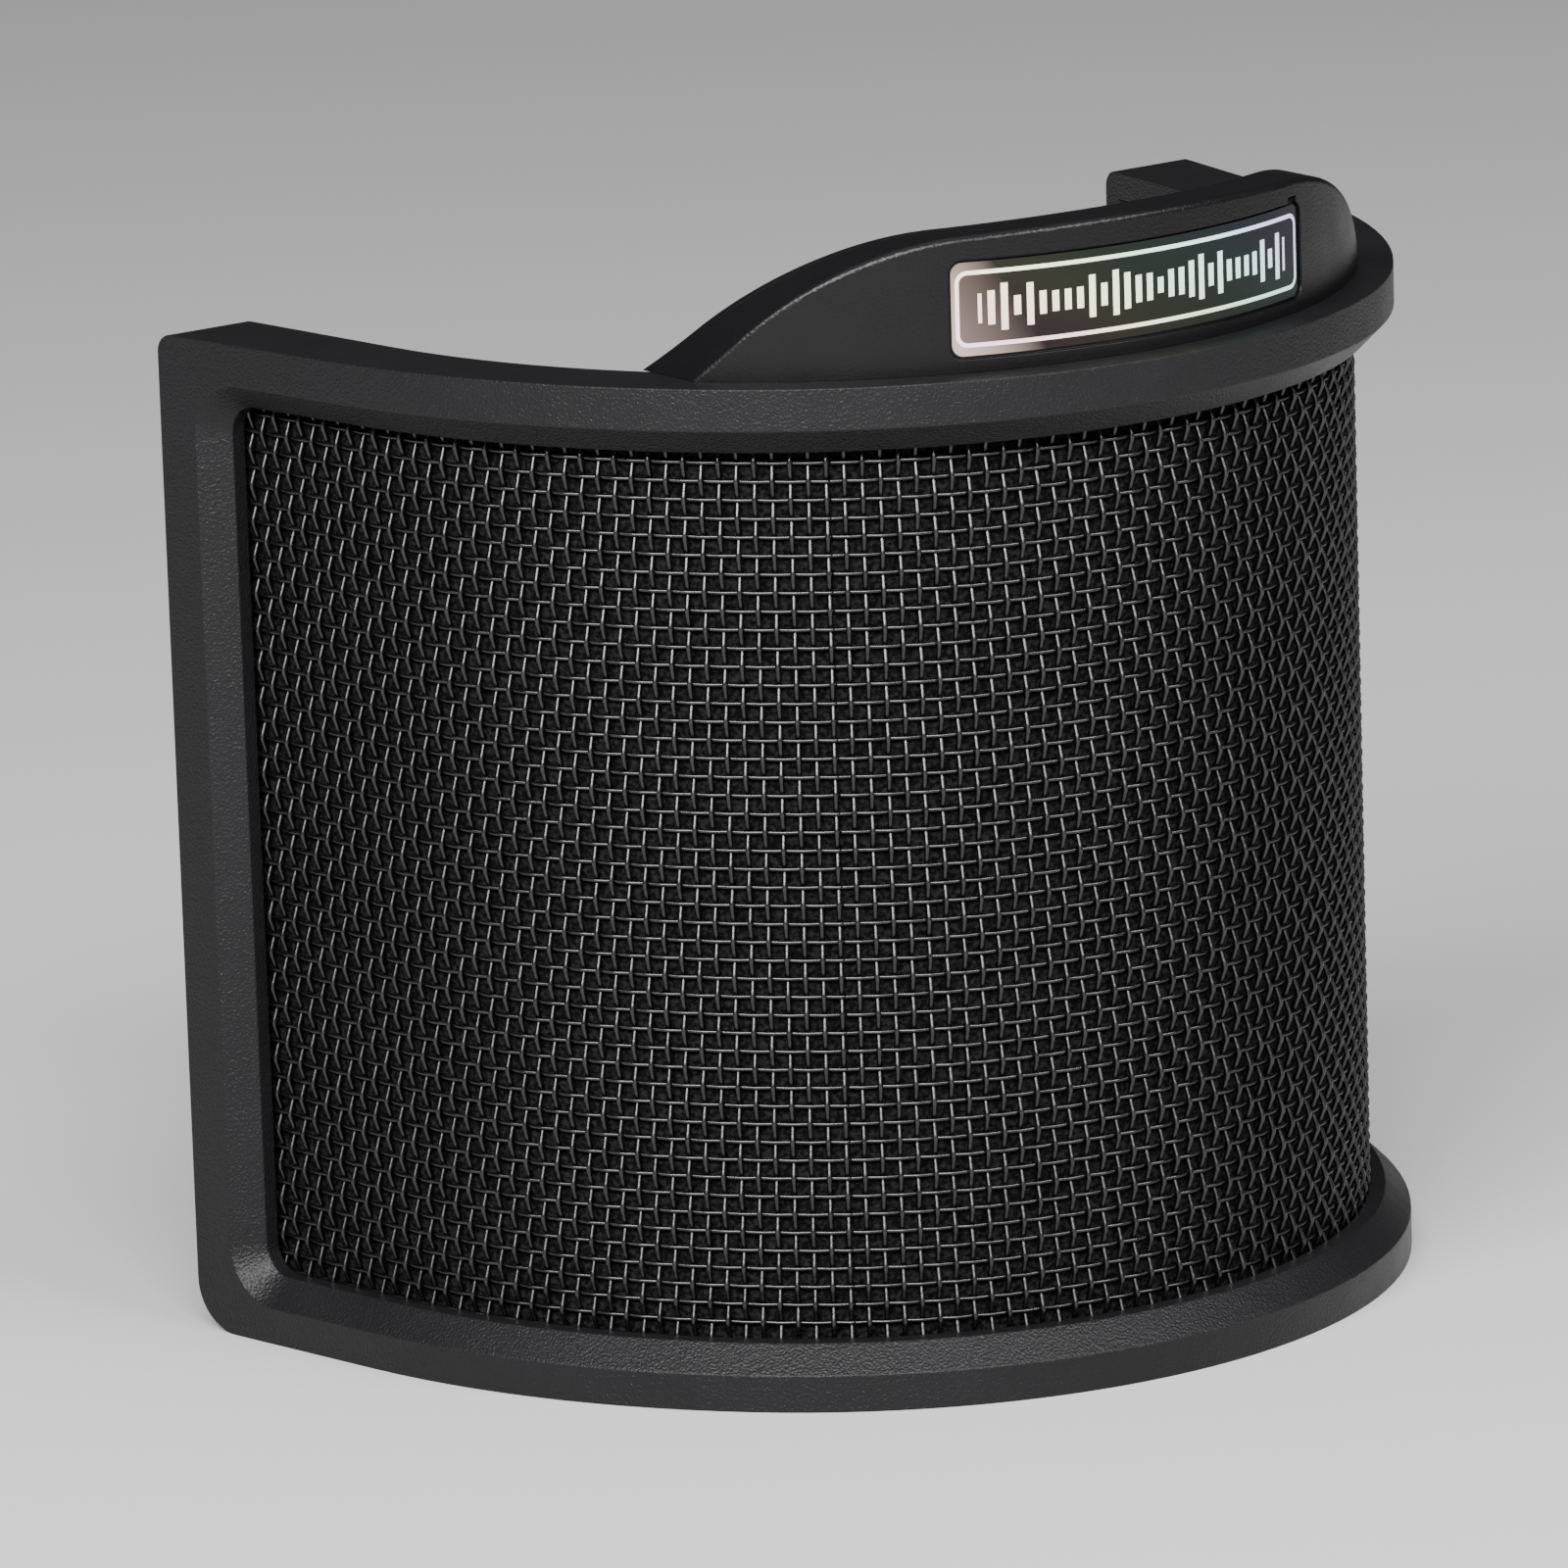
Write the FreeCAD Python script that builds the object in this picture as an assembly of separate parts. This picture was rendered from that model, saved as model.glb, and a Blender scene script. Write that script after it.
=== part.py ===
import FreeCAD, Part
import math
import os
from FreeCAD import Vector

# Clip-on pop filter: a U-shaped shield of wire mesh and foam held in a moulded frame, with a
# crescent housing on top that carries two spring-closed jaws for the microphone.
#
# All lengths are millimetres. While the pieces are built, the vertical axis is the one that
# the middle of the shield curves round: +X is right and -Y is the side that is spoken into.
# Angles are turned from the front towards the right. "Offset" is the distance in front of the
# middle of the mesh, and "along" is the distance along the mesh from the middle of the shield.
# On export every piece moves back by the same step, so the origin is under the shield's centre.

# ---- shield ----
frame_height = 118.0
wing_end_y = 27.5            # plane where both wings stop
arc_radius = 60.5            # middle arc, at the mesh
arc_angle = 47.4             # half angle of the middle arc
side_radius = 80.75          # wider arc that joins the middle arc to the wing
wing_angle = 80.3            # direction of the straight wing
lower_corner_radius = 6.0    # lower corners of the wing ends
upper_corner_radius = 2.2    # upper corners of the wing ends

front_offset = 5.4           # front face of the frame
back_radius = 57.0           # rear face of the frame, middle arc
back_side_radius = 72.0      # rear face of the frame, wider arc
back_wing_angle = 83.0       # rear face of the frame, direction of the wing

window_bottom = 7.3          # edges of the front window, at the foot of its bevel
window_top = 110.2
window_end = 116.5           # along the mesh
window_corner_radius = 3.5
window_bevel = 3.0

mesh_thickness = 1.0
foam_thickness = 1.4
screen_thickness = 0.3
layer_bottom = 3.0           # edges of the mesh, foam, screen and rear ring
layer_top = 114.6
layer_end = 120.3
layer_gap = 0.15             # room round them in the frame

ring_window_bottom = 9.2
ring_window_top = 108.6
ring_window_end = 114.8

ring_screw_alongs = (21.0, 62.0, 100.0)
ring_screw_side_along = 118.2
ring_screw_radius = 0.9
ring_screw_hole_radius = 1.0
ring_screw_head_radius = 1.7
ring_screw_head_height = 0.8
ring_screw_bore_radius = 1.85
ring_screw_tip_offset = 2.7
ring_screw_floor = 0.5       # ring left under each screw head

# ---- crescent housing on top of the frame ----
housing_front = 61.8         # radii
housing_back = 55.4
housing_wall = 1.5
crown_height = 15.9          # above the frame, in the middle
plateau_height = 15.4        # above the frame, where the level part ends
plateau_half_width = 23.5
shoulder_radius = 28.0
ramp_angle = 52.0
housing_edge_radius = 0.7
cavity_half_angle = 41.3
housing_screw_angle = 46.3
housing_screw_radial = 59.2  # distance of the screws from the shield's axis
housing_screw_top = 121.0
block_screw_angle = 4.0
small_screw_radius = 0.8
small_head_radius = 1.6
small_head_height = 0.9

cover_screw_places = ((-43.9, 121.6), (0.0, 129.3), (43.9, 121.6))
cover_screw_tip = 59.4       # radius that the tips reach
cover_head_height = 0.8

label_width = 51.4
label_bottom = 119.85
label_height = 10.6
label_corner_radius = 1.3
label_thickness = 0.3
label_pocket_depth = 0.6
label_margin = 0.35
notch_width = 2.0            # notch in the pocket's edge, to lift the label
notch_height = 0.7

# ---- jaws, which swing about the shield's axis on arc rails ----
jaw_travel = 20.0
rail_inner = 58.3            # radii
rail_outer = 59.1
rail_bottom = 117.0
rail_top = 121.7
rail_gap = 0.1
slider_inner = 57.1
slider_outer = 60.1
slider_bottom = 118.3
slider_top = 124.2
slider_start = 9.0
slider_end = 21.0
neck_start = 13.2
neck_end = 20.2
neck_bottom = 120.6
neck_top = 123.6
slot_gap = 0.2
slot_gap_angle = 0.4
arm_front = 54.9             # radius of the arms' front faces
arm_inner_x = 11.0
arm_outer_x = 20.0
arm_back_y = -40.0
arm_bottom = 119.6
arm_top = 128.2
arm_edge_radius = 0.8
finger_thickness = 4.0
finger_bottom = 91.0
finger_tip_radius = 3.0
rib_front_y = -48.5
rib_back_y = -45.0
rib_bottom = 103.0
pad_face_x = 9.0
pad_depth = 0.6              # how far the pad is let into the finger
pad_front_y = -51.5
pad_back_y = -41.5
pad_bottom = 94.0
pad_top = 116.5
pad_edge_radius = 0.8
jaw_screw_x = 15.6
jaw_screw_z = 122.1
jaw_screw_tip_y = -55.4
jaw_screw_seat_y = -47.0
jaw_screw_bore_radius = 1.8

# ---- springs and the block between the jaws ----
block_half_angle = 8.8
block_column_half_angle = 2.6
block_column_top = 131.6
post_radius = 0.6
post_radial = 59.0
post_top = 126.6
block_post_angle = 5.2
slider_post_angle = 19.0
spring_level = 126.1
spring_radius = 1.05         # to the middle of the wire
spring_wire_radius = 0.18
spring_pitch = 0.8
hook_radius = 0.85

mesh_front = mesh_thickness / 2
mesh_back = -mesh_thickness / 2
foam_back = mesh_back - foam_thickness
screen_back = foam_back - screen_thickness
head_seat_offset = screen_back - ring_screw_floor
arc_length = arc_radius * math.radians(arc_angle)
wing_start = arc_length + side_radius * math.radians(wing_angle - arc_angle)
ceiling = layer_top + layer_gap
cavity_inner = housing_back + housing_wall
cavity_outer = housing_front - housing_wall
far = 200.0                  # beyond every piece
depth_shift = (arc_radius + front_offset - wing_end_y) / 2


# ---- helpers ----
def outward(angle):
    """Unit vector from the axis towards the front, turned by an angle to the right."""
    turn = math.radians(angle)
    return Vector(math.sin(turn), -math.cos(turn), 0)


def sideways(angle):
    """Unit vector along the shield at an angle, away from the middle."""
    turn = math.radians(angle)
    return Vector(math.cos(turn), math.sin(turn), 0)


def up(height):
    return Vector(0, 0, height)


def mirrored(point):
    return Vector(-point.x, point.y, point.z)


def mirror(shape):
    return shape.mirror(Vector(0, 0, 0), Vector(1, 0, 0))


def plan_edges(radii, angles, reach):
    """Plan curve from the left wing end to the right one: wing, arc, middle arc, arc, wing."""
    inner_radius, outer_radius = radii
    joint_angle, end_angle = angles
    centre = outward(joint_angle) * (inner_radius - outer_radius)
    start = outward(0) * inner_radius
    joint = outward(joint_angle) * inner_radius
    arc_middle = centre + outward((joint_angle + end_angle) / 2) * outer_radius
    wing = centre + outward(end_angle) * outer_radius
    end = wing + sideways(end_angle) * reach
    return [
        Part.makeLine(mirrored(end), mirrored(wing)),
        Part.Arc(mirrored(wing), mirrored(arc_middle), mirrored(joint)).toShape(),
        Part.Arc(mirrored(joint), start, joint).toShape(),
        Part.Arc(joint, arc_middle, wing).toShape(),
        Part.makeLine(wing, end),
    ]


def offset_edges(offset, along):
    radii = (arc_radius + offset, side_radius + offset)
    return plan_edges(radii, (arc_angle, wing_angle), along - wing_start)


def slab(front_edges, rear_edges, bottom, top):
    """Upright solid between two plan curves."""
    front_wire = Part.Wire(front_edges)
    rear_wire = Part.Wire(rear_edges)
    front_ends = front_edges[0].Vertexes[0].Point, front_edges[-1].Vertexes[-1].Point
    rear_ends = rear_edges[0].Vertexes[0].Point, rear_edges[-1].Vertexes[-1].Point
    caps = [Part.makeLine(front, rear) for front, rear in zip(front_ends, rear_ends)]
    loop = Part.Wire(Part.sortEdges(front_wire.Edges + rear_wire.Edges + caps)[0])
    face = Part.Face(loop)
    face.translate(up(bottom))
    return face.extrude(up(top - bottom))


def layer(front, back, along, bottom, top):
    return slab(offset_edges(front, along), offset_edges(back, along), bottom, top)


def box(x_range, y_range, z_range):
    size = [high - low for low, high in (x_range, y_range, z_range)]
    return Part.makeBox(*size, Vector(x_range[0], y_range[0], z_range[0]))


def sector(inner, outer, bottom, top, start, end):
    """Part of an upright ring about the shield's axis, between two angles."""
    middle = (start + end) / 2
    edges = [
        Part.makeLine(outward(start) * inner, outward(start) * outer),
        Part.Arc(outward(start) * outer, outward(middle) * outer, outward(end) * outer).toShape(),
        Part.makeLine(outward(end) * outer, outward(end) * inner),
        Part.Arc(outward(end) * inner, outward(middle) * inner, outward(start) * inner).toShape(),
    ]
    face = Part.Face(Part.Wire(edges))
    face.translate(up(bottom))
    return face.extrude(up(top - bottom))


def rounded(shape, radius, keep):
    return shape.makeFillet(radius, [edge for edge in shape.Edges if keep(edge)])


def upright(radius, point, bottom, top):
    return Part.makeCylinder(radius, top - bottom, point + up(bottom))


def mesh_point(along):
    """Point of the mesh and its outward direction, at a distance along it."""
    reach = abs(along)
    centre = outward(arc_angle) * (arc_radius - side_radius)
    if reach <= arc_length:
        angle = math.degrees(reach / arc_radius)
        point = outward(angle) * arc_radius
    elif reach <= wing_start:
        angle = arc_angle + math.degrees((reach - arc_length) / side_radius)
        point = centre + outward(angle) * side_radius
    else:
        angle = wing_angle
        point = centre + outward(angle) * side_radius + sideways(angle) * (reach - wing_start)
    direction = outward(angle)
    if along < 0:
        return mirrored(point), mirrored(direction)
    return point, direction


# ---- ring screws: distance along the mesh and height of each ----
low_row = (layer_bottom + window_bottom) / 2
high_row = (window_top + layer_top) / 2
ring_screw_places = []
for side in (-1, 1):
    for along in ring_screw_alongs:
        ring_screw_places.append((side * along, low_row))
        ring_screw_places.append((side * along, high_row))
    ring_screw_places.append((side * ring_screw_side_along, frame_height / 2))


def ring_rods(radius, front, back):
    """Rods on the ring screws' axes, between two offsets."""
    rods = []
    for along, height in ring_screw_places:
        point, direction = mesh_point(along)
        base = point + direction * back + up(height)
        rods.append(Part.makeCylinder(radius, front - back, base, direction))
    return Part.makeCompound(rods)


def drilled(shape):
    return shape.cut(ring_rods(ring_screw_hole_radius, front_offset, -far / 4))


# ---- shield pieces ----
def whole_shield():
    """Frame body before its window is cut, with rounded corners at the wing ends."""
    reach = 60.0
    rear = plan_edges((back_radius, back_side_radius), (arc_angle, back_wing_angle), reach)
    body = slab(offset_edges(front_offset, wing_start + reach), rear, 0, frame_height)
    body = body.common(box((-far, far), (-far, wing_end_y), (0, frame_height)))

    def end_edge(edge, height):
        centre = edge.CenterOfMass
        return abs(centre.y - wing_end_y) < 0.01 and abs(centre.z - height) < 0.01

    body = rounded(body, lower_corner_radius, lambda edge: end_edge(edge, 0))
    return rounded(body, upper_corner_radius, lambda edge: end_edge(edge, frame_height))


def window_cutter(along, bottom, top):
    front = front_offset + 4
    back = -18
    cutter = layer(front, back, along, bottom, top)

    def window_corner(edge):
        level = abs(edge.BoundBox.ZLength) < 0.001
        return level and abs(edge.Length - (front - back)) < 0.001

    return rounded(cutter, window_corner_radius, window_corner)


def on_front_face(edge):
    """True for an edge that lies wholly on the frame's front face."""
    face_curve = Part.Wire(offset_edges(front_offset, wing_start + 60))
    first, last = edge.ParameterRange
    for step in range(5):
        point = edge.valueAt(first + (last - first) * step / 4)
        flat = Part.Vertex(Vector(point.x, point.y, 0))
        if face_curve.distToShape(flat)[0] > 0.01:
            return False
    return True


def housing_screw_rods(radius, bottom, top):
    rods = [upright(radius, outward(angle) * housing_screw_radial, bottom, top)
            for angle in (-housing_screw_angle, -block_screw_angle,
                          block_screw_angle, housing_screw_angle)]
    return Part.makeCompound(rods)


def make_front_frame(shield):
    body = shield.cut(window_cutter(window_end, window_bottom, window_top))

    def window_edge(edge):
        bounds = edge.BoundBox
        inside = bounds.ZMin > window_bottom - 0.01 and bounds.ZMax < window_top + 0.01
        return inside and bounds.YMax < wing_end_y - 1 and on_front_face(edge)

    bevelled = [edge for edge in body.Edges if window_edge(edge)]
    body = body.makeChamfer(window_bevel, bevelled)
    pocket = layer(mesh_front, -18, layer_end + layer_gap, layer_bottom - layer_gap, ceiling)
    body = body.cut(pocket)
    body = body.cut(ring_rods(ring_screw_radius, ring_screw_tip_offset, mesh_front - 1))
    for side in (-1, 1):
        rail_slot = make_rail()
        body = body.cut(rail_slot if side > 0 else mirror(rail_slot))
    body = body.cut(housing_screw_rods(small_head_radius + rail_gap, ceiling - 1,
                                       ceiling + small_head_height))
    return body.cut(housing_screw_rods(small_screw_radius + rail_gap, ceiling, frame_height + 1))


def make_layer(front, back):
    return drilled(layer(front, back, layer_end, layer_bottom, layer_top))


def make_rear_ring(shield):
    body = shield.common(layer(screen_back, -18, layer_end, layer_bottom, layer_top))
    body = body.cut(window_cutter(ring_window_end, ring_window_bottom, ring_window_top))
    body = body.cut(ring_rods(ring_screw_bore_radius, head_seat_offset, -far / 4))
    return drilled(body)


def make_ring_screws():
    shanks = ring_rods(ring_screw_radius, ring_screw_tip_offset, head_seat_offset)
    heads = ring_rods(ring_screw_head_radius, head_seat_offset,
                      head_seat_offset - ring_screw_head_height)
    screws = [shank.fuse(head) for shank, head in zip(shanks.Solids, heads.Solids)]
    return Part.makeCompound(screws)


# ---- housing ----
def profile_solid(inset, front_y, rear_y):
    """Front outline of the housing, drawn in by an inset and extruded through its depth."""
    crown = frame_height + crown_height - inset
    plateau = frame_height + plateau_height - inset
    tilt = 2 * math.atan((crown_height - plateau_height) / plateau_half_width)
    radius = shoulder_radius - inset
    centre_x = plateau_half_width - radius * math.sin(tilt)
    centre_z = plateau - radius * math.cos(tilt)

    def shoulder(heading):
        return Vector(centre_x + radius * math.sin(heading), 0, centre_z + radius * math.cos(heading))

    ramp = math.radians(ramp_angle)
    ramp_start = shoulder(ramp)
    base = frame_height - 1
    ramp_end = Vector(ramp_start.x + (ramp_start.z - base) / math.tan(ramp), 0, base)
    plateau_end = shoulder(tilt)
    arc_middle = shoulder((tilt + ramp) / 2)
    edges = [
        Part.makeLine(mirrored(ramp_end), mirrored(ramp_start)),
        Part.Arc(mirrored(ramp_start), mirrored(arc_middle), mirrored(plateau_end)).toShape(),
        Part.Arc(mirrored(plateau_end), Vector(0, 0, crown), plateau_end).toShape(),
        Part.Arc(plateau_end, arc_middle, ramp_start).toShape(),
        Part.makeLine(ramp_start, ramp_end),
        Part.makeLine(ramp_end, mirrored(ramp_end)),
    ]
    face = Part.Face(Part.Wire(edges))
    face.translate(Vector(0, front_y, 0))
    return face.extrude(Vector(0, rear_y - front_y, 0))


def crescent(inner, outer, inset, half_angle):
    """Ring about the axis cut to the housing's front outline."""
    body = sector(inner, outer, frame_height, frame_height + 30, -half_angle, half_angle)
    return body.common(profile_solid(inset, -far / 2, 0))


def cover_rods(radius, inner, outer):
    """Rods on the cover screws' axes, between two radii."""
    rods = []
    for angle, height in cover_screw_places:
        base = outward(angle) * inner + up(height)
        rods.append(Part.makeCylinder(radius, outer - inner, base, outward(angle)))
    return Part.makeCompound(rods)


def outer_crescent():
    body = crescent(housing_back, housing_front, 0, 75)

    def top_edge(edge):
        bounds = edge.BoundBox
        curved = bounds.ZMax > frame_height + 0.1
        radii = [math.hypot(vertex.X, vertex.Y) for vertex in edge.Vertexes]
        on_back = all(abs(radius - housing_back) < 0.01 for radius in radii)
        on_front = all(abs(radius - housing_front) < 0.01 for radius in radii)
        return curved and (on_back or on_front)

    return rounded(body, housing_edge_radius, top_edge)


def label_block(inner, outer, margin, corner_radius):
    """Rounded plate bent round the housing's front face."""
    half_angle = math.degrees((label_width / 2 + margin) / housing_front)
    bottom = label_bottom - margin
    top = label_bottom + label_height + margin
    plate = sector(inner, outer, bottom, top, -half_angle, half_angle)

    def plate_corner(edge):
        return abs(edge.Length - (outer - inner)) < 0.001 and edge.BoundBox.ZLength < 0.001

    return rounded(plate, corner_radius, plate_corner)


def make_clip_housing(crescent_body):
    body = crescent_body.common(sector(cavity_inner, housing_front + 5, 0, far, -75, 75))
    body = body.cut(crescent(cavity_inner - 1, cavity_outer, housing_wall, cavity_half_angle))
    pocket_floor = housing_front - label_pocket_depth
    body = body.cut(label_block(pocket_floor, housing_front + 2, label_margin,
                                label_corner_radius + label_margin))
    notch_end = math.degrees((label_width / 2 + label_margin - 1) / housing_front)
    notch_start = notch_end - math.degrees(notch_width / housing_front)
    pocket_top = label_bottom + label_height + label_margin
    body = body.cut(sector(pocket_floor, housing_front + 2, pocket_top - 1,
                           pocket_top + notch_height, notch_start, notch_end))
    body = body.cut(cover_rods(small_screw_radius, cavity_inner - 1, cover_screw_tip))
    return body.cut(housing_screw_rods(small_screw_radius, frame_height - 1, housing_screw_top))


def make_housing_cover(crescent_body):
    body = crescent_body.common(sector(housing_back - 5, cavity_inner, 0, far, -75, 75))
    for side in (-1, 1):
        start = neck_start - slot_gap_angle
        end = neck_end + jaw_travel + slot_gap_angle
        slot = sector(housing_back - 2, cavity_inner + 2, neck_bottom - slot_gap,
                      neck_top + slot_gap, start, end)
        body = body.cut(slot if side > 0 else mirror(slot))
    body = body.cut(cover_rods(small_head_radius + rail_gap, housing_back - 5,
                               housing_back + cover_head_height))
    return body.cut(cover_rods(small_screw_radius + rail_gap, housing_back, cavity_inner + 1))


def make_cover_screws():
    seat = housing_back + cover_head_height
    shanks = cover_rods(small_screw_radius, seat, cover_screw_tip)
    heads = cover_rods(small_head_radius, housing_back + 0.1, seat)
    screws = [shank.fuse(head) for shank, head in zip(shanks.Solids, heads.Solids)]
    return Part.makeCompound(screws)


def make_housing_screws():
    seat = ceiling + small_head_height
    shanks = housing_screw_rods(small_screw_radius, seat, housing_screw_top)
    heads = housing_screw_rods(small_head_radius, ceiling + 0.05, seat)
    screws = [shank.fuse(head) for shank, head in zip(shanks.Solids, heads.Solids)]
    return Part.makeCompound(screws)


def make_label():
    back = housing_front - label_pocket_depth
    return label_block(back, back + label_thickness, 0, label_corner_radius)


# ---- rails, block and springs ----
def make_rail():
    return sector(rail_inner, rail_outer, rail_bottom, rail_top,
                  block_half_angle + 0.2, cavity_half_angle - 0.1)


def post(angle):
    return upright(post_radius, outward(angle) * post_radial, slider_top - 1, post_top)


def make_centre_block():
    foot = sector(slider_inner, slider_outer, frame_height, slider_top,
                  -block_half_angle, block_half_angle)
    column = sector(cavity_inner, slider_outer, slider_top - 1, block_column_top,
                    -block_column_half_angle, block_column_half_angle)
    body = foot.fuse(column).fuse(post(block_post_angle)).fuse(post(-block_post_angle))
    body = body.cut(cover_rods(small_screw_radius, cavity_inner - 1, cover_screw_tip))
    return body.cut(housing_screw_rods(small_screw_radius, frame_height - 1, housing_screw_top))


def make_spring():
    """Tension spring between the block's post and the slider's post, with a ring at each end."""
    near = outward(block_post_angle) * post_radial + up(spring_level)
    distant = outward(slider_post_angle) * post_radial + up(spring_level)
    span = distant - near
    direction = Vector(span).normalize()
    clearance = hook_radius + 3 * spring_wire_radius
    coil_length = span.Length - 2 * clearance
    turns = round(coil_length / spring_pitch)
    helix = Part.makeHelix(coil_length / turns, coil_length, spring_radius)
    profile = Part.Wire(Part.makeCircle(spring_wire_radius, Vector(spring_radius, 0, 0),
                                        Vector(0, 1, 0)))
    coil = Part.Wire(helix.Edges).makePipeShell([profile], True, True)
    turn = FreeCAD.Rotation(Vector(0, 0, 1), direction)
    coil.Placement = FreeCAD.Placement(near + direction * clearance, turn)
    start = coil.Placement.multVec(Vector(spring_radius, 0, 0))
    finish = coil.Placement.multVec(Vector(spring_radius, 0, coil_length))
    body = coil
    for centre, coil_end, heading in ((near, start, direction), (distant, finish, -direction)):
        ring = Part.makeTorus(hook_radius, spring_wire_radius, centre, Vector(0, 0, 1))
        from_ring = centre + heading * hook_radius
        link = coil_end - from_ring
        rod = Part.makeCylinder(spring_wire_radius, link.Length, from_ring, link)
        ball = Part.makeSphere(spring_wire_radius, coil_end)
        body = body.fuse(ring).fuse(rod).fuse(ball)
    return body


# ---- jaw pieces, drawn for the right jaw ----
def make_slider():
    body = sector(slider_inner, slider_outer, slider_bottom, slider_top, slider_start, slider_end)
    neck = sector(arm_front, slider_inner + 0.5, neck_bottom, neck_top, neck_start, neck_end)
    body = body.fuse(neck).fuse(post(slider_post_angle))
    groove = sector(rail_inner - rail_gap, rail_outer + rail_gap, slider_bottom - 1,
                    rail_top + rail_gap, slider_start - 2, slider_end + 2)
    return body.cut(groove).cut(jaw_screw_shank(0)).removeSplitter()


def jaw_screw_shank(gap):
    base = Vector(jaw_screw_x, jaw_screw_tip_y, jaw_screw_z)
    return Part.makeCylinder(small_screw_radius + gap, jaw_screw_seat_y - jaw_screw_tip_y, base,
                             Vector(0, 1, 0))


def make_jaw_screw():
    seat = Vector(jaw_screw_x, jaw_screw_seat_y, jaw_screw_z)
    head = Part.makeCylinder(small_head_radius, small_head_height, seat, Vector(0, 1, 0))
    return jaw_screw_shank(0).fuse(head)


def pad_block(face_x):
    back_x = arm_inner_x + pad_depth
    return box((face_x, back_x), (pad_front_y, pad_back_y), (pad_bottom, pad_top))


def make_arm():
    block = box((arm_inner_x, arm_outer_x), (-far / 2, arm_back_y), (arm_bottom, arm_top))
    finger_outer_x = arm_inner_x + finger_thickness
    finger = box((arm_inner_x, finger_outer_x), (-far / 2, arm_back_y), (finger_bottom, arm_top))
    barrel = Part.makeCylinder(arm_front, far)
    body = block.fuse(finger).common(barrel).removeSplitter()

    def back_edge(edge):
        bounds = edge.BoundBox
        at_back = abs(bounds.YMin - arm_back_y) < 0.01 and abs(bounds.YMax - arm_back_y) < 0.01
        return at_back and bounds.ZMax > arm_top - 0.01

    def tip_edge(edge):
        bounds = edge.BoundBox
        return bounds.ZMax < finger_bottom + 0.01 and abs(bounds.YMin - arm_back_y) < 0.01

    body = rounded(body, arm_edge_radius, back_edge)
    body = rounded(body, finger_tip_radius, tip_edge)
    rib_outline = Part.makePolygon([
        Vector(finger_outer_x - 0.5, rib_front_y, rib_bottom),
        Vector(finger_outer_x, rib_front_y, rib_bottom),
        Vector(arm_outer_x, rib_front_y, arm_bottom),
        Vector(arm_outer_x, rib_front_y, arm_bottom + 0.5),
        Vector(finger_outer_x - 0.5, rib_front_y, arm_bottom + 0.5),
        Vector(finger_outer_x - 0.5, rib_front_y, rib_bottom),
    ])
    rib = Part.Face(rib_outline).extrude(Vector(0, rib_back_y - rib_front_y, 0))
    body = body.fuse(rib).removeSplitter()
    bore_base = Vector(jaw_screw_x, jaw_screw_seat_y, jaw_screw_z)
    bore = Part.makeCylinder(jaw_screw_bore_radius, 20, bore_base, Vector(0, 1, 0))
    return body.cut(bore).cut(jaw_screw_shank(rail_gap)).cut(pad_block(arm_inner_x - 1))


def make_pad():
    pad = pad_block(pad_face_x)

    def face_edge(edge):
        return edge.BoundBox.XMax < pad_face_x + 0.01

    return rounded(pad, pad_edge_radius, face_edge)


def main():
    shield = whole_shield()
    crescent_body = outer_crescent()
    pieces = {
        "front_frame": make_front_frame(shield),
        "wire_mesh": make_layer(mesh_front, mesh_back),
        "foam_layer": make_layer(mesh_back, foam_back),
        "rear_screen": make_layer(foam_back, screen_back),
        "rear_ring": make_rear_ring(shield),
        "ring_screws": make_ring_screws(),
        "clip_housing": make_clip_housing(crescent_body),
        "housing_cover": make_housing_cover(crescent_body),
        "cover_screws": make_cover_screws(),
        "housing_screws": make_housing_screws(),
        "label_plate": make_label(),
        "centre_block": make_centre_block(),
    }
    paired = {
        "slide_rail": make_rail(),
        "spring": make_spring(),
        "jaw_slider": make_slider(),
        "jaw_arm": make_arm(),
        "jaw_pad": make_pad(),
        "jaw_screw": make_jaw_screw(),
    }
    for name, shape in paired.items():
        pieces["right_" + name] = shape
        pieces["left_" + name] = mirror(shape)

    os.makedirs("parts", exist_ok=True)
    for name, shape in pieces.items():
        moved = shape.copy()
        moved.translate(Vector(0, depth_shift, 0))
        moved.exportStep("parts/" + name + ".step")


main()
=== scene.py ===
import math

import bpy
import numpy as np
from mathutils import Matrix, Vector


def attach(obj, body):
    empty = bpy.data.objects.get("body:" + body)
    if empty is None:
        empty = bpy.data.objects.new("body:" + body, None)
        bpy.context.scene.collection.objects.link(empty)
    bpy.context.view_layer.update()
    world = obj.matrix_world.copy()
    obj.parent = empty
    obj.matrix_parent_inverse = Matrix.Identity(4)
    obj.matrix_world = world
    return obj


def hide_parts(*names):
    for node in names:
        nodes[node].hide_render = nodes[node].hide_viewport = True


# Looks for the clip-on pop filter. Lengths are metres in the row frame: the origin is on the
# resting plane under the object's centre, -Y is the side spoken into and +Z is up.

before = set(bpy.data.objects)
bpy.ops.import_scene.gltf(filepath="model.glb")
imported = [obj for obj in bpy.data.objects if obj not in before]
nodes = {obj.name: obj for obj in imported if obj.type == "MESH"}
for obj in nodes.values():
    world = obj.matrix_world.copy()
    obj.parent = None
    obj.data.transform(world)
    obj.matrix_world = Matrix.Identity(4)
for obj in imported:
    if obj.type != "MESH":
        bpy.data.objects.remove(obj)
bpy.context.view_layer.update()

# ---- shape of the shield, as in the CAD ----
AXIS_Y = 0.0192              # the upright axis that the middle of the shield curves round
ARC_RADIUS = 0.0605          # middle arc, at the middle of the wire cloth
ARC_ANGLE = math.radians(47.4)
SIDE_RADIUS = 0.08075        # wider arc between the middle arc and the wing
WING_ANGLE = math.radians(80.3)
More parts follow.
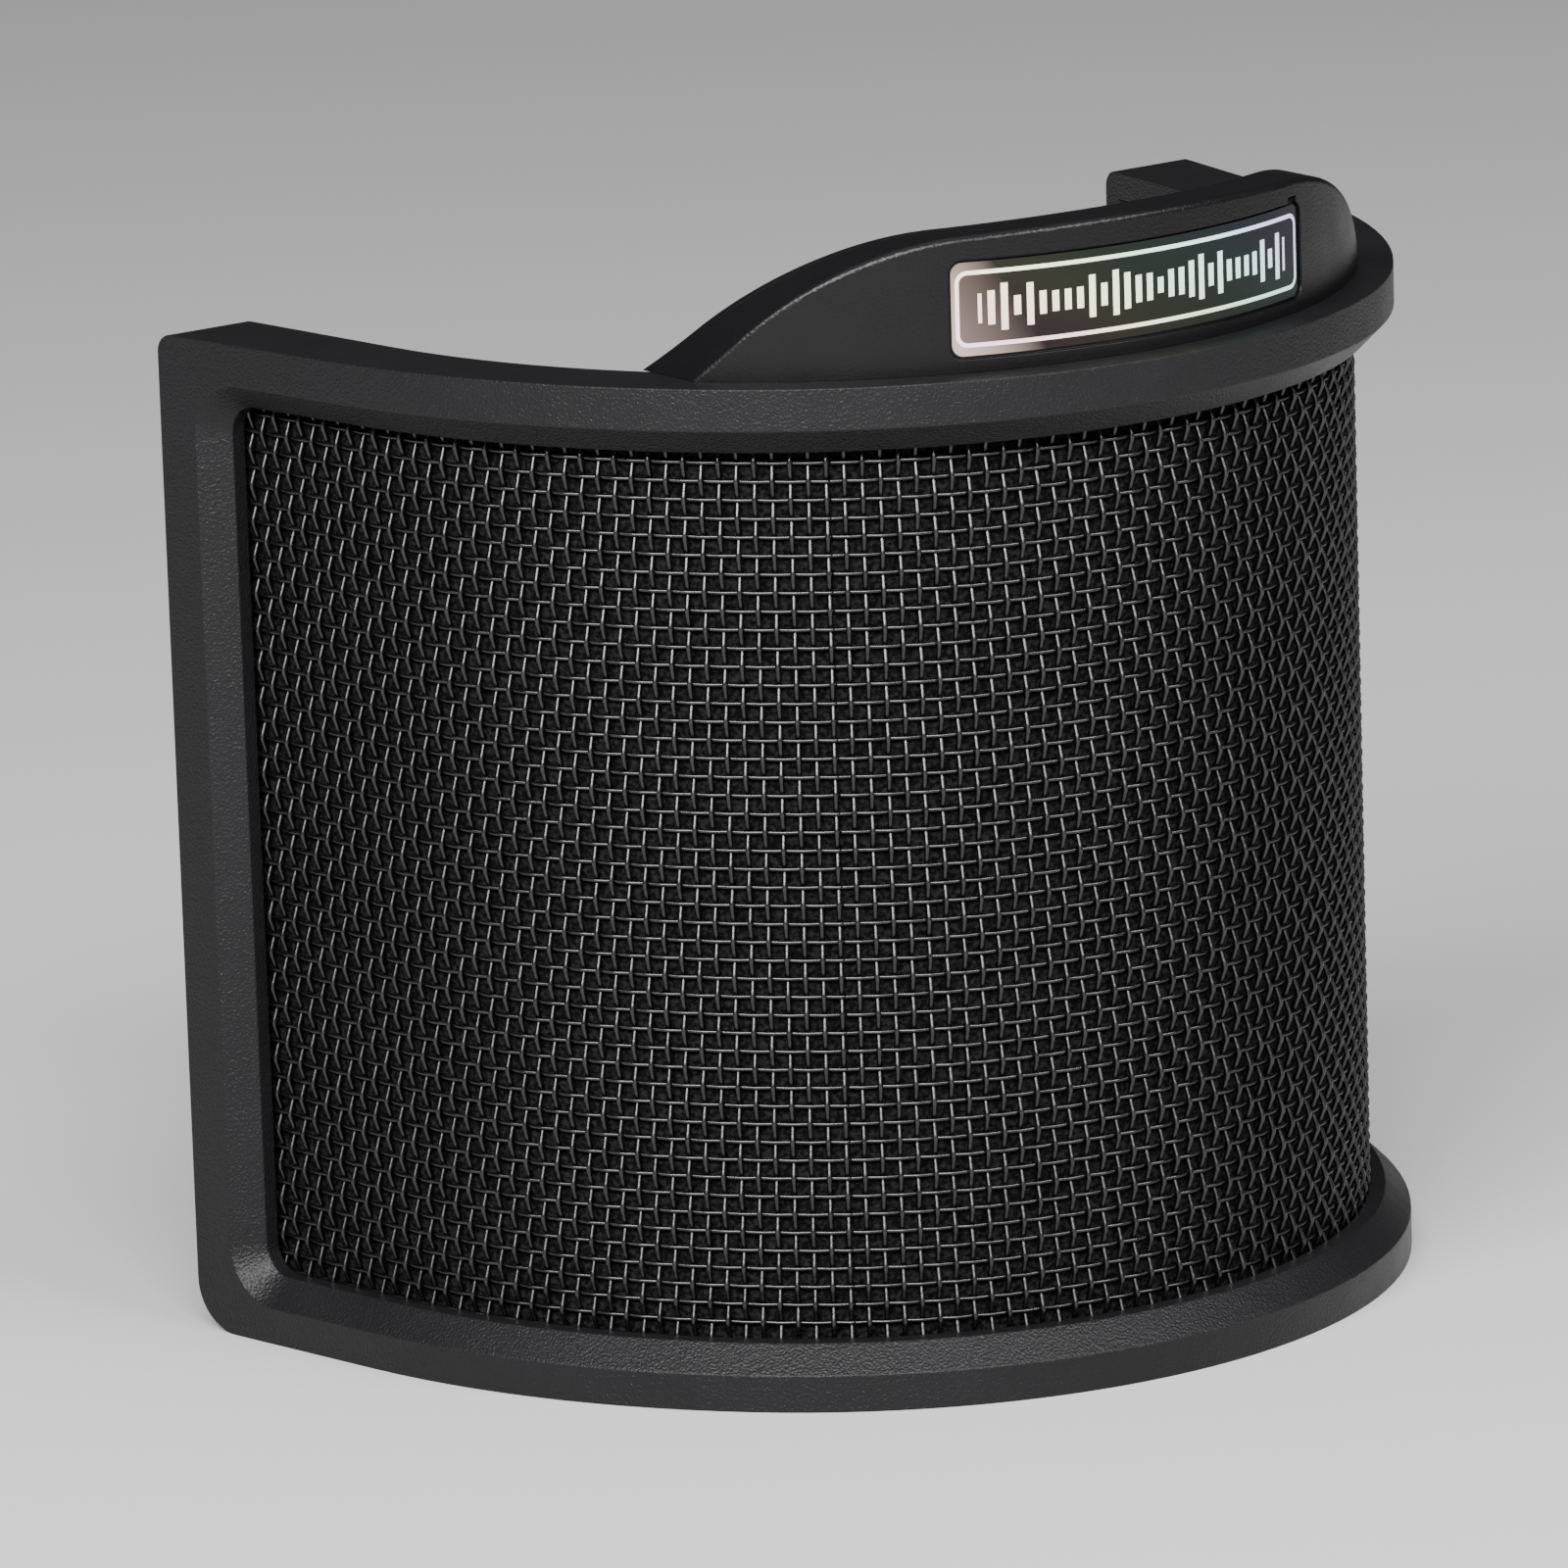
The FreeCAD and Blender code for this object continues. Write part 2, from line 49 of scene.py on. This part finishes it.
CLOTH_BOTTOM = 0.0030
CLOTH_TOP = 0.1146
CLOTH_END = 0.1203           # along the cloth from its middle

# ---- wire cloth ----
ROW_PITCH = 0.002117         # between wires that run along the shield
COLUMN_PITCH = 0.002007      # between upright wires
ROW_RADIUS = 0.00022
COLUMN_RADIUS = 0.00029
ROW_CRIMP = 0.00012          # how far each wire swings off the cloth's middle
COLUMN_CRIMP = 0.00039
CLOTH_FORWARD = 0.00010      # the cloth's middle stands this far in front of the sheet's
ROW_RISE = 0.00035           # height of the lowest row above a whole number of pitches
ROW_TILT = -0.0052           # rise of the rows per metre along the cloth
COLUMN_START = 0.00065       # distance of the middle upright wire from the cloth's middle
WIRE_SIDES = 6
SAMPLES_PER_PITCH = 6

# The cloth is in three sections, side by side. Their edges pass between two upright wires.
SECTION_EDGE = 19.5 * COLUMN_PITCH
CLOTH_SECTIONS = {
    "left": (-CLOTH_END, -SECTION_EDGE),
    "middle": (-SECTION_EDGE, SECTION_EDGE),
    "right": (SECTION_EDGE, CLOTH_END),
}

# ---- label ----
LABEL_RADIUS = 0.0615        # its front face, from the shield's axis
LABEL_MIDDLE_Z = 0.12515
OUTLINE_HALF_WIDTH = 0.0249
OUTLINE_HALF_HEIGHT = 0.0041
OUTLINE_CORNER = 0.0012
OUTLINE_HALF_STROKE = 0.00024
BAR_PITCH = 0.00155
BAR_HALF_WIDTH = 0.00042
BAR_LEAST_HALF_HEIGHT = 0.0009
BAR_EXTRA_HALF_HEIGHT = 0.0019
BAR_ROW_HALF_LENGTH = 0.0225
BAR_WAVES = (1.3, 0.37)      # radians per bar of the two waves that set the bars' heights
RAINBOW_ALONG = 13.0         # turns of hue per metre along the label
RAINBOW_UP = 25.0            # turns of hue per metre of height
RAINBOW_MIDDLE = 0.30        # hue at the label's middle
# Painted reflection: the film is painted lighter and warmer towards its left end, in place of the
# sheen of the light on it.
PAINTED_SHEEN_FULL_AT = -0.0270           # the painted warm sheen, a painted reflection of the light, is full here, along the label
PAINTED_SHEEN_GONE_AT = -0.0175          # and has faded out here
PAINTED_SHEEN_SLANT = 0.6
PAINTED_SHEEN_COLOUR = (0.36, 0.27, 0.23, 1.0)

# ---- textures, in cells per metre ----
GRAIN_SCALE = 3200.0
PATCH_SCALE = 45.0
GLOSS_SCALE = 160.0
WIRE_SCALE = 650.0
PORE_SCALE = 1500.0
WEB_SCALE = 1700.0
DUST_SCALE = 900.0
FILM_SCALE = 300.0
FLOOR_SCALE = 3.0
THREAD_PITCH = 0.0007        # metres between like threads of the rear screen's weave

# ---- camera ----
CAMERA_TARGET = Vector((-0.0342, -0.0158, 0.069))
CAMERA_AZIMUTH = math.radians(-36.65)
CAMERA_ELEVATION = math.radians(13.57)
CAMERA_ROLL = math.radians(1.8)
CAMERA_DISTANCE = 1.343
CAMERA_LENS = 272.9
CAMERA_SENSOR = 36.0
CAMERA_NEAREST = 0.05
CAMERA_FARTHEST = 50.0

# ---- floor and light ----
FLOOR_HALF_SIDE = 6.0
LIGHT_TARGET = (0.0, 0.0, 0.06)
WORLD_COLOUR = (0.95, 0.97, 1.0, 1.0)
WORLD_STRENGTH = 0.04


# ---- node materials ----
class Shader:
    """A node material under construction, with short helpers for its nodes."""

    def __init__(self, name):
        self.material = bpy.data.materials.new(name)
        self.material.use_nodes = True
        self.tree = self.material.node_tree
        self.tree.nodes.clear()
        self.output = self.tree.nodes.new("ShaderNodeOutputMaterial")
        self.surface = self.tree.nodes.new("ShaderNodeBsdfPrincipled")
        self.tree.links.new(self.surface.outputs[0], self.output.inputs["Surface"])
        self.place = self.tree.nodes.new("ShaderNodeTexCoord").outputs["Object"]

    def put(self, socket, value):
        if isinstance(value, bpy.types.NodeSocket):
            self.tree.links.new(value, socket)
        else:
            socket.default_value = value

    def set(self, **values):
        for name, value in values.items():
            self.put(self.surface.inputs[name.replace("_", " ")], value)

    def math(self, operation, *values):
        node = self.tree.nodes.new("ShaderNodeMath")
        node.operation = operation
        for socket, value in zip(node.inputs, values):
            self.put(socket, value)
        return node.outputs[0]

    def coordinates(self):
        """The place's X, Y and Z."""
        node = self.tree.nodes.new("ShaderNodeSeparateXYZ")
        self.put(node.inputs[0], self.place)
        return node.outputs

    def around_axis(self, x, y):
        """Angle round the shield's axis, from -Y towards +X."""
        return self.math("ARCTAN2", x, self.math("SUBTRACT", AXIS_Y, y))

    def noise(self, scale, detail=2.0):
        node = self.tree.nodes.new("ShaderNodeTexNoise")
        node.inputs["Scale"].default_value = scale
        node.inputs["Detail"].default_value = detail
        self.put(node.inputs["Vector"], self.place)
        return node.outputs["Fac"]

    def voronoi(self, scale):
        node = self.tree.nodes.new("ShaderNodeTexVoronoi")
        node.inputs["Scale"].default_value = scale
        self.put(node.inputs["Vector"], self.place)
        return node.outputs["Distance"]

    def ramp(self, value, low, high, start=0.0, end=1.0):
        """Value stretched so that start..end becomes low..high."""
        node = self.tree.nodes.new("ShaderNodeMapRange")
        self.put(node.inputs["Value"], value)
        node.inputs["From Min"].default_value = start
        node.inputs["From Max"].default_value = end
        node.inputs["To Min"].default_value = low
        node.inputs["To Max"].default_value = high
        return node.outputs["Result"]

    def mix(self, share, first, second):
        node = self.tree.nodes.new("ShaderNodeMix")
        node.data_type = "RGBA"
        self.put(node.inputs["Factor"], share)
        self.put(node.inputs["A"], first)
        self.put(node.inputs["B"], second)
        return node.outputs["Result"]

    def uneven_grey(self, pattern, level, spread=0.2):
        """Grey that goes from a share below the level to the same share above it."""
        return self.mix(pattern, grey(level * (1.0 - spread)), grey(level * (1.0 + spread)))

    def uneven_gloss(self, pattern, roughness, spread):
        """Roughness that goes from spread below its value to spread above it."""
        return self.ramp(pattern, roughness - spread, roughness + spread, 0.3, 0.7)

    def soft_edges(self, radius):
        node = self.tree.nodes.new("ShaderNodeBevel")
        node.samples = 6
        node.inputs["Radius"].default_value = radius
        return node.outputs["Normal"]

    def bump(self, height, distance, normal=None):
        node = self.tree.nodes.new("ShaderNodeBump")
        node.inputs["Distance"].default_value = distance
        self.put(node.inputs["Height"], height)
        if normal is not None:
            self.put(node.inputs["Normal"], normal)
        return node.outputs["Normal"]


def grey(level, blue=1.0):
    """A grey, or a slightly bluish one with blue above 1."""
    return (level, level, level * blue, 1.0)


def moulded_plastic(name, level, roughness, grain, edge):
    """Moulded plastic with a fine even grain, slightly uneven gloss and soft edges."""
    shader = Shader(name)
    grain_noise = shader.noise(GRAIN_SCALE)
    patches = shader.noise(PATCH_SCALE)
    tone = shader.mix(patches, grey(level * 0.85, 1.1), grey(level * 1.15, 1.12))
    normal = shader.bump(grain_noise, grain, shader.soft_edges(edge))
    gloss = shader.uneven_gloss(shader.noise(GLOSS_SCALE, 3.0), roughness, 0.04)
    shader.set(Base_Color=tone, Roughness=gloss, Normal=normal, Specular_IOR_Level=0.23)
    return shader.material


def metal(name, level, roughness, scale, edge=0.0):
    """Drawn or turned metal with slight streaks, and soft edges if an edge radius is given."""
    shader = Shader(name)
    streaks = shader.noise(scale)
    tone = shader.uneven_grey(streaks, level)
    gloss = shader.uneven_gloss(streaks, roughness, 0.05)
    shader.set(Base_Color=tone, Metallic=0.9, Roughness=gloss)
    if edge:
        shader.set(Normal=shader.bump(streaks, 0.00001, shader.soft_edges(edge)))
    return shader.material


def coated_wire():
    """Wire with a thin dark glossy coat, slightly uneven along its length."""
    shader = Shader("cloth wire")
    streaks = shader.noise(WIRE_SCALE)
    tone = shader.mix(streaks, grey(0.044), grey(0.070))
    gloss = shader.ramp(streaks, 0.28, 0.35, 0.3, 0.7)
    shader.set(Base_Color=tone, Roughness=gloss, Metallic=1.0)
    return shader.material


def open_foam():
    """Black open-cell foam: deep small pores with matte webs between them."""
    shader = Shader("black foam")
    pores = shader.voronoi(PORE_SCALE)
    webs = shader.noise(WEB_SCALE)
    tone = shader.mix(shader.ramp(webs, 0.0, 1.0, 0.40, 0.62), grey(0.0005), grey(0.009))
    height = shader.math("ADD", pores, shader.math("MULTIPLY", webs, 0.5))
    shader.set(Base_Color=tone, Roughness=0.95, Normal=shader.bump(height, 0.0004))
    shader.set(Specular_IOR_Level=0.1)
    return shader.material


def cloth_screen():
    """Fine black cloth behind the foam, with a close weave."""
    shader = Shader("screen cloth")
    x, y, z = shader.coordinates()
    threads = 2.0 * math.pi / THREAD_PITCH
    turn = shader.around_axis(x, y)
    across = shader.math("SINE", shader.math("MULTIPLY", turn, ARC_RADIUS * threads))
    upward = shader.math("SINE", shader.math("MULTIPLY", z, threads))
    weave = shader.math("MULTIPLY", across, upward)
    tone = shader.mix(shader.ramp(weave, 0.0, 1.0, -1.0, 1.0), grey(0.004), grey(0.028))
    shader.set(Base_Color=tone, Roughness=0.85, Normal=shader.bump(weave, 0.0001))
    return shader.material


def rubber(name, level):
    """Matte rubber with a fine dusty grain and soft edges."""
    shader = Shader(name)
    dust = shader.noise(DUST_SCALE, 3.0)
    tone = shader.uneven_grey(dust, level)
    normal = shader.bump(dust, 0.00004, shader.soft_edges(0.0003))
    shader.set(Base_Color=tone, Roughness=0.75, Normal=normal)
    return shader.material


def outside_box(shader, along, height, half_width, half_height, corner_radius):
    """Distance outside a rounded rectangle round the label's middle, negative inside it."""
    side = shader.math("SUBTRACT", shader.math("ABSOLUTE", along), half_width - corner_radius)
    rise = shader.math("SUBTRACT", shader.math("ABSOLUTE", height), half_height - corner_radius)
    far_side = shader.math("MAXIMUM", side, 0.0)
    far_rise = shader.math("MAXIMUM", rise, 0.0)
    squares = shader.math("ADD", shader.math("POWER", far_side, 2.0),
                          shader.math("POWER", far_rise, 2.0))
    inner = shader.math("MINIMUM", shader.math("MAXIMUM", side, rise), 0.0)
    return shader.math("SUBTRACT", shader.math("ADD", shader.math("SQRT", squares), inner),
                       corner_radius)


def upright_bars(shader, along, height):
    """1 on a row of upright bars whose heights rise and fall, and 0 elsewhere."""
    cell = shader.math("FLOOR", shader.math("DIVIDE", along, BAR_PITCH))
    middle = shader.math("MULTIPLY", shader.math("ADD", cell, 0.5), BAR_PITCH)
    offset = shader.math("SUBTRACT", along, middle)
    waves = [shader.math("ABSOLUTE", shader.math("SINE", shader.math("MULTIPLY", cell, rate)))
             for rate in BAR_WAVES]
    extra = shader.math("MULTIPLY", shader.math("MULTIPLY", *waves), BAR_EXTRA_HALF_HEIGHT)
    tall = shader.math("ADD", BAR_LEAST_HALF_HEIGHT, extra)
    in_bar = shader.math("LESS_THAN", shader.math("ABSOLUTE", offset), BAR_HALF_WIDTH)
    in_height = shader.math("LESS_THAN", shader.math("ABSOLUTE", height), tall)
    in_row = shader.math("LESS_THAN", shader.math("ABSOLUTE", along), BAR_ROW_HALF_LENGTH)
    return shader.math("MULTIPLY", shader.math("MULTIPLY", in_bar, in_height), in_row)


def label_film():
    """Dark film with a pale rounded outline, plain upright bars and a painted warm sheen (a painted
    reflection of the light) at one end.
    """
    shader = Shader("label film")
    x, y, z = shader.coordinates()
    along = shader.math("MULTIPLY", shader.around_axis(x, y), LABEL_RADIUS)
    height = shader.math("SUBTRACT", z, LABEL_MIDDLE_Z)

    outline = outside_box(shader, along, height,
                          OUTLINE_HALF_WIDTH, OUTLINE_HALF_HEIGHT, OUTLINE_CORNER)
    stroke = shader.math("LESS_THAN", shader.math("ABSOLUTE", outline), OUTLINE_HALF_STROKE)
    margin = shader.math("GREATER_THAN", outline, 0.0)
    printed = shader.math("MAXIMUM", upright_bars(shader, along, height), stroke)

    drift = shader.math("ADD", shader.math("MULTIPLY", along, RAINBOW_ALONG),
                        shader.math("MULTIPLY", height, RAINBOW_UP))
    rainbow = shader.tree.nodes.new("ShaderNodeCombineColor")
    rainbow.mode = "HSV"
    shader.put(rainbow.inputs[0], shader.math("FRACT", shader.math("ADD", drift, RAINBOW_MIDDLE)))
    shader.put(rainbow.inputs[1], 0.75)
    shader.put(rainbow.inputs[2], 1.0)
    tinted = shader.mix(0.006, grey(0.001), rainbow.outputs[0])
    ink = shader.mix(0.42, grey(0.90), rainbow.outputs[0])

    # Painted sheen: a lighter warm colour fades along the label from one end. It is full on the
    # margin and partial inside it, and is painted in place of a reflection of the light.
    slanted = shader.math("ADD", along, shader.math("MULTIPLY", height, PAINTED_SHEEN_SLANT))
    painted_sheen = shader.ramp(slanted, 1.0, 0.0, PAINTED_SHEEN_FULL_AT, PAINTED_SHEEN_GONE_AT)
    strength = shader.math("MULTIPLY", painted_sheen, shader.ramp(margin, 0.30, 1.0))
    ground = shader.mix(strength, tinted, PAINTED_SHEEN_COLOUR)
    tone = shader.mix(printed, ground, ink)
    gloss = shader.ramp(shader.noise(FILM_SCALE), 0.18, 0.30)
    shader.set(Base_Color=tone, Roughness=gloss, Specular_IOR_Level=0.3)
    return shader.material


def floor_paint():
    """Pale matte floor, very slightly uneven."""
    shader = Shader("floor")
    tone = shader.mix(shader.noise(FLOOR_SCALE), grey(0.44), grey(0.47))
    shader.set(Base_Color=tone, Roughness=0.9, Specular_IOR_Level=0.1)
    return shader.material


FRAME_PLASTIC = moulded_plastic("frame plastic", level=0.006, roughness=0.40, grain=0.00014,
                                edge=0.0003)
HOUSING_PLASTIC = moulded_plastic("housing plastic", level=0.004, roughness=0.33, grain=0.00006,
                                  edge=0.0002)
JAW_PLASTIC = moulded_plastic("jaw plastic", level=0.005, roughness=0.40, grain=0.00010,
                              edge=0.0003)
INNER_PLASTIC = moulded_plastic("acetal", level=0.60, roughness=0.40, grain=0.00001,
                                edge=0.0002)
WIRE = coated_wire()
SCREW_STEEL = metal("blackened steel", level=0.06, roughness=0.38, scale=900.0, edge=0.0001)
RAIL_STEEL = metal("rail steel", level=0.55, roughness=0.28, scale=400.0, edge=0.0001)
SPRING_STEEL = metal("spring steel", level=0.50, roughness=0.25, scale=400.0)
FOAM = open_foam()
SCREEN = cloth_screen()
PAD_RUBBER = rubber("pad rubber", level=0.02)
LABEL_FILM = label_film()

NODE_MATERIALS = {
    "front_frame": FRAME_PLASTIC,
    "rear_ring": FRAME_PLASTIC,
    "wire_mesh": WIRE,
    "foam_layer": FOAM,
    "rear_screen": SCREEN,
    "ring_screws": SCREW_STEEL,
    "clip_housing": HOUSING_PLASTIC,
    "housing_cover": HOUSING_PLASTIC,
    "cover_screws": SCREW_STEEL,
    "housing_screws": SCREW_STEEL,
    "label_plate": LABEL_FILM,
    "centre_block": INNER_PLASTIC,
}
PAIRED_MATERIALS = {
    "slide_rail": RAIL_STEEL,
    "spring": SPRING_STEEL,
    "jaw_slider": INNER_PLASTIC,
    "jaw_arm": JAW_PLASTIC,
    "jaw_pad": PAD_RUBBER,
    "jaw_screw": SCREW_STEEL,
}
for part, finish in PAIRED_MATERIALS.items():
    NODE_MATERIALS["right_" + part] = finish
    NODE_MATERIALS["left_" + part] = finish


def paint(obj, finish):
    obj.data.materials.clear()
    obj.data.materials.append(finish)


for node_name, obj in nodes.items():
    paint(obj, NODE_MATERIALS[node_name])


# ---- woven wire cloth ----
def cloth_points(along):
    """Plan points of the cloth's middle and their outward directions, for an array of distances."""
    reach = np.abs(along)
    arc_length = ARC_RADIUS * ARC_ANGLE
    wing_start = arc_length + SIDE_RADIUS * (WING_ANGLE - ARC_ANGLE)
    in_arc = reach <= arc_length
    side_angle = ARC_ANGLE + (np.minimum(reach, wing_start) - arc_length) / SIDE_RADIUS
    angle = np.where(in_arc, reach / ARC_RADIUS, side_angle)
    radius = np.where(in_arc, ARC_RADIUS, SIDE_RADIUS)
    shift = np.where(in_arc, 0.0, ARC_RADIUS - SIDE_RADIUS)
    straight = np.maximum(reach - wing_start, 0.0)
    sign = np.where(along < 0, -1.0, 1.0)
    x = shift * math.sin(ARC_ANGLE) + radius * np.sin(angle) + straight * np.cos(angle)
    y = -shift * math.cos(ARC_ANGLE) - radius * np.cos(angle) + straight * np.sin(angle)
    outward = np.stack([sign * np.sin(angle), -np.cos(angle), np.zeros_like(angle)], axis=-1)
    return np.stack([sign * x, y + AXIS_Y], axis=-1), outward


def wire_path(along, height, swing):
    """3-D points of a wire that leaves the cloth's middle by swing, and their outward directions."""
    plan, outward = cloth_points(along)
    points = np.concatenate([plan, height[:, None]], axis=1)
    return points + outward * (swing + CLOTH_FORWARD)[:, None], outward


def tube(points, outward, radius, sides):
    """Vertices and faces of a round wire along points, with closed ends."""
    heading = np.gradient(points, axis=0)
    heading /= np.linalg.norm(heading, axis=1)[:, None]
    across = np.cross(heading, outward)
    across /= np.linalg.norm(across, axis=1)[:, None]
    lift = np.cross(across, heading)
    turns = np.arange(sides) * 2.0 * math.pi / sides
    rings = (points[:, None, :]
             + radius * np.cos(turns)[None, :, None] * across[:, None, :]
             + radius * np.sin(turns)[None, :, None] * lift[:, None, :])
    count = len(points)
    faces = []
    for step in range(count - 1):
        for side in range(sides):
            after = (side + 1) % sides
            low = step * sides
            high = low + sides
            faces.append((low + side, low + after, high + after, high + side))
    faces.append(tuple(reversed(range(sides))))
    faces.append(tuple(range((count - 1) * sides, count * sides)))
    return rings.reshape(-1, 3), faces


def wires_object(name, paths, radius):
    """One mesh object that holds the given wires."""
    vertices = []
    faces = []
    start = 0
    for points, outward in paths:
        ring_points, ring_faces = tube(points, outward, radius, WIRE_SIDES)
        vertices.append(ring_points)
        faces.extend(tuple(index + start for index in face) for face in ring_faces)
        start += len(ring_points)
    mesh = bpy.data.meshes.new(name)
    mesh.from_pydata(np.concatenate(vertices).tolist(), [], faces)
    mesh.shade_smooth()
    obj = bpy.data.objects.new(name, mesh)
    bpy.context.scene.collection.objects.link(obj)
    paint(obj, WIRE)
    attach(obj, "shield")
    return obj


def weave_swing(position, pitch, number):
    """Swing from -1 to 1 of a crimped wire, nearly straight between the wires that it crosses.

    It is the first two terms of a triangle wave, scaled so that the crests are at 1.
    """
    turn = math.pi * (position / pitch + number)
    return (np.cos(turn) + np.cos(3.0 * turn) / 9.0) * 0.9


def row_wires(start, end):
    """Wires that run along the shield, between two distances along it."""
    paths = []
    first = math.ceil(CLOTH_BOTTOM / ROW_PITCH) + 1
    last = math.floor(CLOTH_TOP / ROW_PITCH) - 1
    samples = round((end - start) / COLUMN_PITCH * SAMPLES_PER_PITCH) + 1
    along = np.linspace(start, end, samples)
    for row in range(first, last + 1):
        height = row * ROW_PITCH + ROW_RISE + ROW_TILT * along
        swing = ROW_CRIMP * weave_swing(along - COLUMN_START, COLUMN_PITCH, row)
        paths.append(wire_path(along, height, swing))
    return paths


def column_wires(start, end):
    """Upright wires, between two distances along the shield."""
    paths = []
    samples = round((CLOTH_TOP - CLOTH_BOTTOM) / ROW_PITCH * SAMPLES_PER_PITCH) + 1
    height = np.linspace(CLOTH_BOTTOM, CLOTH_TOP, samples)
    first = math.ceil((start - COLUMN_START) / COLUMN_PITCH)
    last = math.floor((end - COLUMN_START) / COLUMN_PITCH)
    for column in range(first, last + 1):
        along = np.full(samples, column * COLUMN_PITCH + COLUMN_START)
        row_position = height - ROW_RISE - ROW_TILT * along
        swing = -COLUMN_CRIMP * weave_swing(row_position, ROW_PITCH, column)
        paths.append(wire_path(along, height, swing))
    return paths


for section, (start, end) in CLOTH_SECTIONS.items():
    wires_object("cloth_rows_" + section, row_wires(start, end), ROW_RADIUS)
    wires_object("cloth_columns_" + section, column_wires(start, end), COLUMN_RADIUS)
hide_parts("wire_mesh")


# ---- camera ----
def make_camera():
    back = Vector((math.sin(CAMERA_AZIMUTH) * math.cos(CAMERA_ELEVATION),
                   -math.cos(CAMERA_AZIMUTH) * math.cos(CAMERA_ELEVATION),
                   math.sin(CAMERA_ELEVATION)))
    right = Vector((math.cos(CAMERA_AZIMUTH), math.sin(CAMERA_AZIMUTH), 0.0))
    up = back.cross(right)
    cosine = math.cos(CAMERA_ROLL)
    sine = math.sin(CAMERA_ROLL)
    rolled_right = right * cosine - up * sine
    rolled_up = right * sine + up * cosine
    turn = Matrix((rolled_right, rolled_up, back)).transposed().to_4x4()
    data = bpy.data.cameras.new("camera")
    data.lens = CAMERA_LENS
    data.sensor_width = CAMERA_SENSOR
    data.clip_start = CAMERA_NEAREST
    data.clip_end = CAMERA_FARTHEST
    camera = bpy.data.objects.new("camera", data)
    camera.matrix_world = Matrix.Translation(CAMERA_TARGET + back * CAMERA_DISTANCE) @ turn
    bpy.context.scene.collection.objects.link(camera)
    bpy.context.scene.camera = camera


# ---- floor and light ----
def make_floor():
    half = FLOOR_HALF_SIDE
    corners = [(-half, -half, 0), (half, -half, 0), (half, half, 0), (-half, half, 0)]
    mesh = bpy.data.meshes.new("floor")
    mesh.from_pydata(corners, [], [(0, 1, 2, 3)])
    floor = bpy.data.objects.new("floor", mesh)
    bpy.context.scene.collection.objects.link(floor)
    paint(floor, floor_paint())


def make_light(name, place, target, width, height, power):
    """A rectangular lamp that faces its target."""
    data = bpy.data.lights.new(name, "AREA")
    data.shape = "RECTANGLE"
    data.size = width
    data.size_y = height
    data.energy = power
    light = bpy.data.objects.new(name, data)
    light.location = place
    aim = Vector(target) - Vector(place)
    light.rotation_mode = "QUATERNION"
    light.rotation_quaternion = aim.to_track_quat("-Z", "Y")
    bpy.context.scene.collection.objects.link(light)


def make_world():
    world = bpy.data.worlds.new("studio")
    world.use_nodes = True
    background = world.node_tree.nodes["Background"]
    background.inputs["Color"].default_value = WORLD_COLOUR
    background.inputs["Strength"].default_value = WORLD_STRENGTH
    bpy.context.scene.world = world


make_camera()
make_floor()
make_world()
make_light("key", place=(-0.80, -0.64, 0.80), target=LIGHT_TARGET, width=1.3, height=0.30,
           power=54.0)
make_light("front_right", place=(0.35, -0.98, 0.90), target=LIGHT_TARGET, width=0.8, height=0.30,
           power=20.0)
make_light("overhead", place=(0.0, 0.1, 1.6), target=(0.0, 0.0, 0.0), width=1.6, height=1.6,
           power=7.0)
